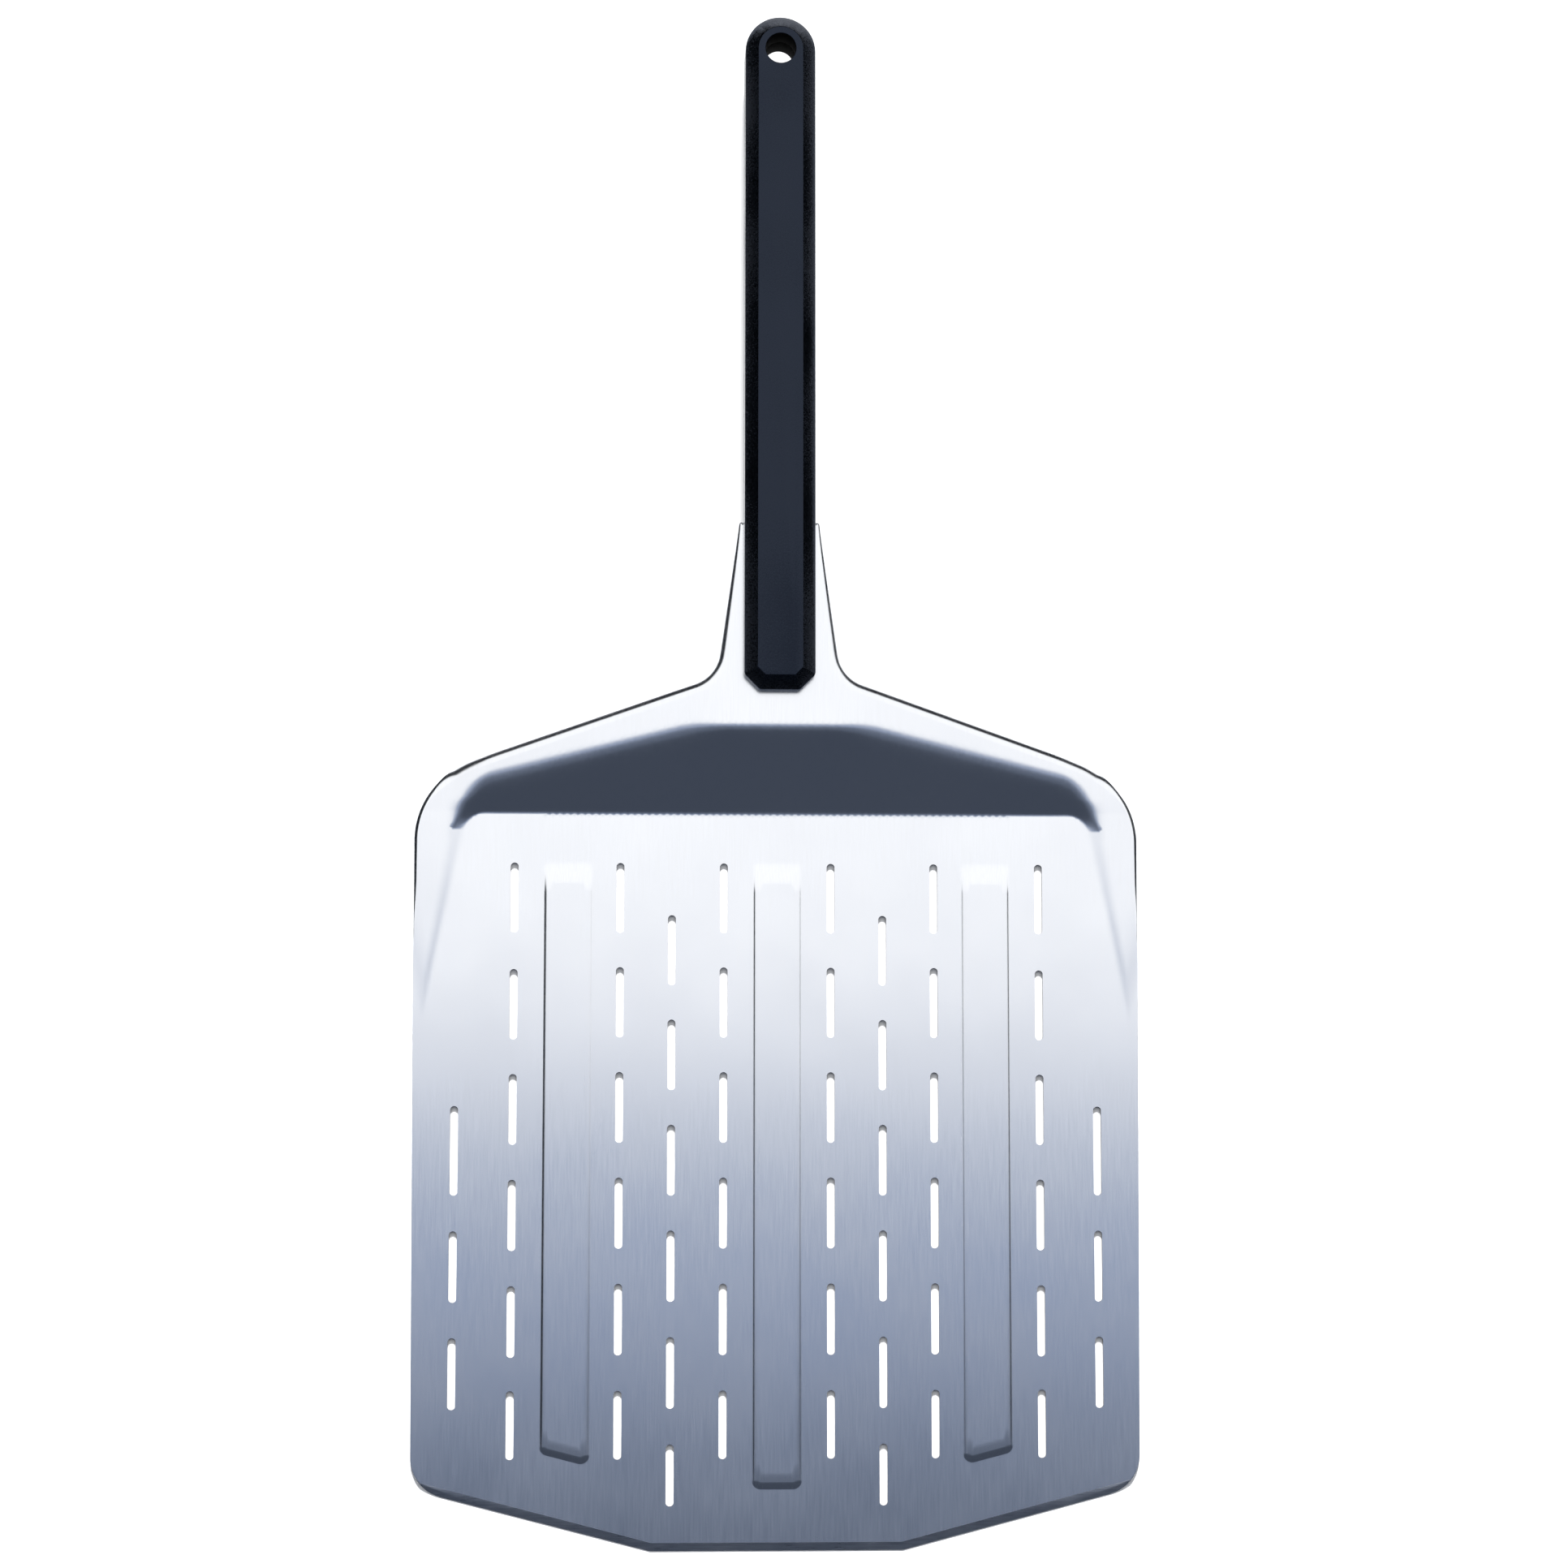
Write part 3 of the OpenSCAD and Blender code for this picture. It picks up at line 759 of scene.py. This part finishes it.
def finish(name, base, metallic, marks, mark_size, roughness, bump_mm, shade=0.0, **constants):
    """A material whose colour, roughness and bump follow one noise; mark_size is x, y, z in mm."""
    material = bpy.data.materials.new(name)
    material.use_nodes = True
    tree = material.node_tree
    shader = tree.nodes["Principled BSDF"]
    for socket, value in constants.items():
        shader.inputs[socket.replace("_", " ")].default_value = value
    where = add_node(tree, "ShaderNodeTexCoord")
    scale = tuple(1 / (size * MM) for size in mark_size)
    spread = add_node(tree, "ShaderNodeVectorMath", {0: where.outputs["Object"], 1: scale},
                      operation="MULTIPLY")
    noise = add_node(tree, "ShaderNodeTexNoise",
                     {"Vector": spread.outputs[0], "Scale": 1.0, "Detail": marks})
    wide = add_node(tree, "ShaderNodeTexNoise",
                    {"Vector": where.outputs["Object"], "Scale": 1 / (CLOUD_MM * MM), "Detail": 2.0})
    both = add_node(tree, "ShaderNodeMath", {0: noise.outputs["Fac"], 1: wide.outputs["Fac"]},
                    operation="ADD")
    rough = add_node(tree, "ShaderNodeMapRange",
                     {"Value": both.outputs[0], "From Min": 0.7, "From Max": 1.3,
                      "To Min": roughness[0], "To Max": roughness[1]})
    tree.links.new(rough.outputs[0], shader.inputs["Roughness"])
    light = linear(base)
    dark = tuple(c * (1 - shade) for c in light[:3]) + (1.0,)
    ramp = add_node(tree, "ShaderNodeValToRGB", {"Fac": noise.outputs["Fac"]})
    ramp.color_ramp.elements[0].position = 0.3
    ramp.color_ramp.elements[1].position = 0.7
    ramp.color_ramp.elements[0].color = dark
    ramp.color_ramp.elements[1].color = light
    tree.links.new(ramp.outputs["Color"], shader.inputs["Base Color"])
    shader.inputs["Metallic"].default_value = metallic
    bump = add_node(tree, "ShaderNodeBump",
                    {"Height": noise.outputs["Fac"], "Distance": bump_mm * MM, "Strength": 1.0})
    tree.links.new(bump.outputs["Normal"], shader.inputs["Normal"])
    return material


# %% The seven finishes
# satin sheet, cool grey, with the rolling mill's fine lengthwise grain
# (real grain is taken as about 0.05 mm wide, and is drawn 0.5 mm wide so that it shows)
satin = finish("satin_aluminium_sheet", "#f0f2f6", 1.0, 3.0, (0.5, 14, 0.5), (0.17, 0.22), 0.0004,
               shade=0.05)
# metal ground by a belt along the front edges, streaked and rougher than the sheet
ground = finish("ground_aluminium_bevel", "#e6eaf2", 1.0, 4.0, (9, 0.5, 9), (0.26, 0.42), 0.004,
                shade=0.2)
# punched slot walls, rougher than the sheet, with painted shade: the colour is set darker than bare
# aluminium so that the narrow slots stay dark
slot_wall_shade = finish("slot_wall_painted_shade", "#4a4c50", 1.0, 3.0, (0.6, 0.6, 3), (0.3, 0.45), 0.004,
                 shade=0.15)
# black glass-filled nylon with a spark-eroded mould grain, bluish where it shines
# (the grain is drawn 0.7 mm wide, as coarse as it needs to be to show)
nylon = finish("black_grained_nylon", "#07090c", 0.0, 2.0, (0.7, 0.7, 0.7), (0.1, 0.38), 0.02, shade=0.5,
               Specular_IOR_Level=0.5, Specular_Tint=linear("#c2d6ff"))
# the same nylon in the cord hole with painted shade: darker in colour and duller than the plastic is
# likely to be, so that the deep hole stays dark
hole_shade_nylon = finish("dull_black_nylon_painted_shade", "#050608", 0.0, 2.0, (0.7, 0.7, 0.7), (0.85, 0.95), 0.01,
                    shade=0.4, Specular_IOR_Level=0.08)
# plated steel screws, turned and tumbled
steel = finish("plated_steel", "#c3c6ca", 1.0, 3.0, (0.4, 0.4, 2), (0.2, 0.34), 0.003, shade=0.12)
# brass inserts, turned on a lathe and seen only when the handle is open
brass = finish("turned_brass", "#d9b765", 1.0, 3.0, (2, 2, 0.3), (0.25, 0.4), 0.003, shade=0.15)
for material in (satin, ground, slot_wall_shade):
    blade.data.materials.append(material)
print("finishes", [m.name for m in bpy.data.materials])

# %% [markdown]
# ## Punching the slots
# A turret press punches all the slots with one tool, row by row. Geometry Nodes can do the same: one
# round punch is placed on every slot's middle, its front and rear halves are pulled apart by that slot's
# own reach, and a boolean takes the punches out of the sheet. Three plain round holes in the tang, which
# the screws pass through, use the same tool with no reach and a larger scale.

# %% Table of punch strokes
SLOT_W = 3.4
SLOT_L = 29.4
SLOT_PITCH = 43.8
SLOT_REAR = FRONT + 284.3
SCREW_Y = (62, 122, 196, 280)
TANG_HOLE_R = 2.3
LAST_SLOT_L = 28.1
SHORT_SLOT_L = 25.3
LONG_SIDE_SLOT = 1.26
INNER_SAG = 0.9


def column(x, rear, lengths, sag=0):
    """Middle and reach of each slot in a column on both sides; sag lowers the inner rows."""
    strokes = []
    for i, length in enumerate(lengths):
        low = sag if 0 < i < len(lengths) - 1 else 0
        middle = rear - i * SLOT_PITCH - low - length / 2
        strokes += [(side * x, middle, SHEET / 2, (length - SLOT_W) / 2, 1.0) for side in (-1, 1)]
    return strokes


full = [SLOT_L] * 5
strokes = column(22.5, SLOT_REAR, full + [LAST_SLOT_L])
strokes += column(44.3, SLOT_REAR - SLOT_PITCH / 2, full + [SHORT_SLOT_L])
strokes += column(66, SLOT_REAR, full + [LAST_SLOT_L])
strokes += column(110.4, SLOT_REAR, full + [LAST_SLOT_L], sag=INNER_SAG)
strokes += column(134.6, SLOT_REAR - 3.505 * SLOT_PITCH, [SLOT_L] * 2)
strokes += column(134.6, SLOT_REAR - 2.325 * SLOT_PITCH, [SLOT_L * LONG_SIDE_SLOT])
strokes += [(0, y, RISE + SHEET / 2, 0.0, TANG_HOLE_R / (SLOT_W / 2)) for y in SCREW_Y[:3]]
strokes_mesh = object_from("punch_strokes", [s[:3] for s in strokes], [])
for name, column_of in (("reach", 3), ("bore", 4)):
    stored = strokes_mesh.data.attributes.new(name, "FLOAT", "POINT")
    unit = MM if name == "reach" else 1
    stored.data.foreach_set("value", [s[column_of] * unit for s in strokes])
print("punch strokes", len(strokes))


# %% Tree helpers
def new_tree(name, inputs):
    """An empty geometry tree with the named inputs; returns the tree, its input and output nodes."""
    tree = bpy.data.node_groups.new(name, "GeometryNodeTree")
    tree.interface.new_socket("Geometry", in_out="INPUT", socket_type="NodeSocketGeometry")
    for label, kind in inputs:
        tree.interface.new_socket(label, in_out="INPUT", socket_type=kind)
    tree.interface.new_socket("Geometry", in_out="OUTPUT", socket_type="NodeSocketGeometry")
    return tree, tree.nodes.new("NodeGroupInput"), tree.nodes.new("NodeGroupOutput")


def grown(piece, tree, values, name):
    """Runs a geometry tree on a piece and returns the result as a plain mesh object."""
    modifier = piece.modifiers.new(tree.name, "NODES")
    modifier.node_group = tree
    for item in tree.interface.items_tree:
        if item.in_out == "INPUT" and item.name in values:
            modifier[item.identifier] = values[item.name]
    bpy.context.view_layer.update()
    evaluated = piece.evaluated_get(bpy.context.evaluated_depsgraph_get())
    mesh = bpy.data.meshes.new_from_object(evaluated)
    piece.modifiers.remove(modifier)
    result = bpy.data.objects.new(name, mesh)
    bpy.context.scene.collection.objects.link(result)
    return result


# %% Punching tree
PUNCH_DEPTH = 5
PUNCH_SIDES = 24

punching, given, made = new_tree("punching", [("Strokes", "NodeSocketObject"), ("Width", "NodeSocketFloat"),
                                              ("Depth", "NodeSocketFloat"), ("Wall", "NodeSocketMaterial")])
half_width = add_node(punching, "ShaderNodeMath", {0: given.outputs["Width"], 1: 0.5}, operation="MULTIPLY")
tool = add_node(punching, "GeometryNodeMeshCylinder",
                {"Vertices": PUNCH_SIDES, "Radius": half_width.outputs[0], "Depth": given.outputs["Depth"]})
place = add_node(punching, "GeometryNodeInputPosition")
parts = add_node(punching, "ShaderNodeSeparateXYZ", {0: place.outputs[0]})
end = add_node(punching, "ShaderNodeMath", {0: parts.outputs["Y"]}, operation="SIGN")
held = add_node(punching, "GeometryNodeStoreNamedAttribute",
                {"Geometry": tool.outputs["Mesh"], "Name": "end", "Value": end.outputs[0]})
# the punch's walls take the slot wall finish, darkened as painted shade
painted = add_node(punching, "GeometryNodeSetMaterial",
                   {"Geometry": held.outputs[0], "Material": given.outputs["Wall"]})
points = add_node(punching, "GeometryNodeObjectInfo", {"Object": given.outputs["Strokes"]})
bore = add_node(punching, "GeometryNodeInputNamedAttribute", {"Name": "bore"})
size = add_node(punching, "ShaderNodeCombineXYZ",
                {0: bore.outputs["Attribute"], 1: bore.outputs["Attribute"], 2: 1.0})
placed = add_node(punching, "GeometryNodeInstanceOnPoints",
                  {"Points": points.outputs["Geometry"], "Instance": painted.outputs[0],
                   "Scale": size.outputs[0]})
real = add_node(punching, "GeometryNodeRealizeInstances", {0: placed.outputs[0]})
reach = add_node(punching, "GeometryNodeInputNamedAttribute", {"Name": "reach"})
side = add_node(punching, "GeometryNodeInputNamedAttribute", {"Name": "end"})
pull = add_node(punching, "ShaderNodeMath",
                {0: reach.outputs["Attribute"], 1: side.outputs["Attribute"]}, operation="MULTIPLY")
shift = add_node(punching, "ShaderNodeCombineXYZ", {1: pull.outputs[0]})
stretched = add_node(punching, "GeometryNodeSetPosition",
                     {"Geometry": real.outputs[0], "Offset": shift.outputs[0]})
cut = add_node(punching, "GeometryNodeMeshBoolean",
               {"Mesh 1": given.outputs["Geometry"], "Mesh 2": stretched.outputs[0]},
               operation="DIFFERENCE", solver="MANIFOLD")
punching.links.new(cut.outputs["Mesh"], made.inputs[0])
print("punching tree", len(punching.nodes), "nodes")

# %% Punched blade
punched = grown(blade, punching, {"Strokes": strokes_mesh, "Width": SLOT_W * MM,
                                  "Depth": PUNCH_DEPTH * MM, "Wall": slot_wall_shade}, "perforated_blade")
for used in (blade, strokes_mesh):
    bpy.data.objects.remove(used)
print("punched blade", len(punched.data.polygons), "faces", [m.name for m in punched.data.materials])

# %% Zones of finish on the blade
zones_data = punched.data
slots_of = {m.name: i for i, m in enumerate(zones_data.materials)}
for polygon in zones_data.polygons:
    centre = polygon.center / MM
    # slot walls keep their finish with painted shade
    if polygon.material_index == slots_of[slot_wall_shade.name]:
        continue
    bevelled = bevel_distance(np.array([centre.x]), np.array([centre.y]))[0] < BEVEL
    upward = polygon.normal.z > 0.5
    polygon.material_index = slots_of[(ground if bevelled and upward else satin).name]
set_formula_normals(punched)
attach(punched, "root")
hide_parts("blade")

# %% [markdown]
# ## Handle shells
# The grip is two injection-moulded shells of glass-filled nylon that close round the tang. Moulded
# plastic never has a knife edge, because the mould is cut with a rounded tool, so every edge of the CAD
# shells is rounded by a fraction of a millimetre. A Bevel modifier could do it live, but the CAD mesh is
# loose triangles, so a copy is merged first and bevelled in the same step. The wall of the cord hole gets
# the dull nylon, which is darkened as painted shade.

# %% Rounded shells
EDGE_RADIUS = 0.45
HANG_R = 6.5
HANG_Y = 307.15
SHARP = math.radians(24)
SAME_POINT = 0.002
FLAT_ENOUGH = math.radians(0.6)
SHADE_SHARP = math.radians(38)


def softened(source, name, radius, material):
    """A copy of a CAD node with its sharp edges rounded by a small radius."""
    mesh = bmesh.new()
    mesh.from_mesh(source.data)
    bmesh.ops.transform(mesh, matrix=source.matrix_world, verts=mesh.verts)
    bmesh.ops.remove_doubles(mesh, verts=mesh.verts, dist=SAME_POINT * MM)
    bmesh.ops.dissolve_limit(mesh, angle_limit=FLAT_ENOUGH, verts=mesh.verts, edges=mesh.edges)
    sharp = [e for e in mesh.edges if e.is_manifold and e.calc_face_angle() > SHARP]
    bmesh.ops.bevel(mesh, geom=sharp, offset=radius * MM, segments=3, profile=0.5, affect="EDGES",
                    clamp_overlap=True, harden_normals=False)
    bmesh.ops.recalc_face_normals(mesh, faces=mesh.faces)
    data = bpy.data.meshes.new(name)
    mesh.to_mesh(data)
    mesh.free()
    data.materials.append(material)
    data.materials.append(hole_shade_nylon)
    hole = Vector((0, HANG_Y)) * MM
    # the cord hole's wall takes the nylon that is darkened as painted shade
    for face in data.polygons:
        in_hole = (face.center.xy - hole).length < (HANG_R + 0.2) * MM
        face.material_index = int(in_hole and abs(face.normal.z) < 0.5)
    data.shade_smooth()
    data.set_sharp_from_angle(angle=SHADE_SHARP)
    piece = bpy.data.objects.new(name, data)
    bpy.context.scene.collection.objects.link(piece)
    return piece


shells = {"handle_front_shell": "front_grip_shell", "handle_back_shell": "back_grip_shell"}
for node, name in shells.items():
    shell = softened(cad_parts[node], name, EDGE_RADIUS, nylon)
    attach(shell, "root")
    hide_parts(node)
    print(name, len(shell.data.polygons), "faces")

# %% [markdown]
# ## Screws
# Four equal button-head screws with a hexagon socket hold the shells together from the back. One screw
# is turned on the lathe here: rings of points along its axis, from the bottom of the socket over the
# head to the tip of the thread. A Screw modifier could turn the thread, but the lathe rings join it to
# the head in one closed skin. A second geometry tree then sets it on the four seats.

# %% Lathe rings of one screw
screw_low, screw_high = [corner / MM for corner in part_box("screws")]
HEAD_R = 3.8
HEAD_H = 2.3
SHANK_R = 2.0
SOCKET = 2.5
THREAD_PITCH = 0.7
THREAD_DEPTH = 0.28
AROUND = 48
head_z = screw_low.z
angles = np.linspace(0, 2 * math.pi, AROUND, endpoint=False)
hexagon = (SOCKET / 2) / np.cos((angles + math.pi / 6) % (math.pi / 3) - math.pi / 6)
round_ring = np.ones(AROUND)
profile = [(0.01 * round_ring, 1.45), (hexagon * 0.98, 1.3), (hexagon, 0.12), (hexagon + 0.12, 0)]
for a in np.linspace(0.25, 1, 7) * math.pi / 2:
    profile.append((HEAD_R * np.maximum(math.sin(a), 0.52) * round_ring,
                    (HEAD_H - 0.5) * (1 - math.cos(a))))
profile += [(HEAD_R * round_ring, HEAD_H - 0.15), ((HEAD_R - 0.15) * round_ring, HEAD_H),
            (2.15 * round_ring, HEAD_H), (SHANK_R * round_ring, HEAD_H + 0.2)]
length = screw_high.z - head_z
for z in np.arange(HEAD_H + 0.8, length - 0.6, THREAD_PITCH / 6):
    phase = (z / THREAD_PITCH - angles / (2 * math.pi)) % 1
    profile.append((SHANK_R - THREAD_DEPTH * (1 - np.abs(2 * phase - 1)), z))
profile += [(0.75 * SHANK_R * round_ring, length - 0.1), (0.01 * round_ring, length)]
print("screw rings", len(profile), "length", round(length, 2))

# %% One screw
verts, quads = [], []
for radius, z in profile:
    verts += list(zip(radius * np.cos(angles), radius * np.sin(angles), np.full(AROUND, float(z))))
for k in range(len(profile) - 1):
    for i in range(AROUND):
        j = (i + 1) % AROUND
        quads.append((k * AROUND + i, (k + 1) * AROUND + i, (k + 1) * AROUND + j, k * AROUND + j))
quads.append(tuple(range(AROUND)))
quads.append(tuple(reversed(range((len(profile) - 1) * AROUND, len(profile) * AROUND))))
screw = object_from("one_screw", verts, quads)
fix = bmesh.new()
fix.from_mesh(screw.data)
bmesh.ops.recalc_face_normals(fix, faces=fix.faces)
fix.to_mesh(screw.data)
fix.free()
screw.data.shade_smooth()
screw.data.set_sharp_from_angle(angle=SHARP_EDGE)
print("one screw", len(screw.data.polygons), "faces")

# %% Screws on their seats
seats = object_from("screw_seats", [(0, y, head_z) for y in SCREW_Y], [])

setting, given, made = new_tree("screw_setting", [("Screw", "NodeSocketObject"),
                                                  ("Steel", "NodeSocketMaterial")])
info = add_node(setting, "GeometryNodeObjectInfo", {"Object": given.outputs["Screw"]})
placed = add_node(setting, "GeometryNodeInstanceOnPoints",
                  {"Points": given.outputs["Geometry"], "Instance": info.outputs["Geometry"]})
real = add_node(setting, "GeometryNodeRealizeInstances", {0: placed.outputs[0]})
painted = add_node(setting, "GeometryNodeSetMaterial",
                   {"Geometry": real.outputs[0], "Material": given.outputs["Steel"]})
setting.links.new(painted.outputs[0], made.inputs[0])
screws = grown(seats, setting, {"Screw": screw, "Steel": steel}, "button_head_screws")
for used in (screw, seats):
    bpy.data.objects.remove(used)
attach(screws, "root")
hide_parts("screws")
print("screws", len(screws.data.polygons), "faces")

# %% [markdown]
# ## Inserts
# Each screw bites into a small brass insert that is pressed into the front shell. The shells hide the
# inserts completely, so the CAD node is kept as it is and only gets its metal.

# %% Inserts
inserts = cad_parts["inserts"]
inserts.data.materials.clear()
inserts.data.materials.append(brass)
print("inserts", len(inserts.data.polygons), "faces")
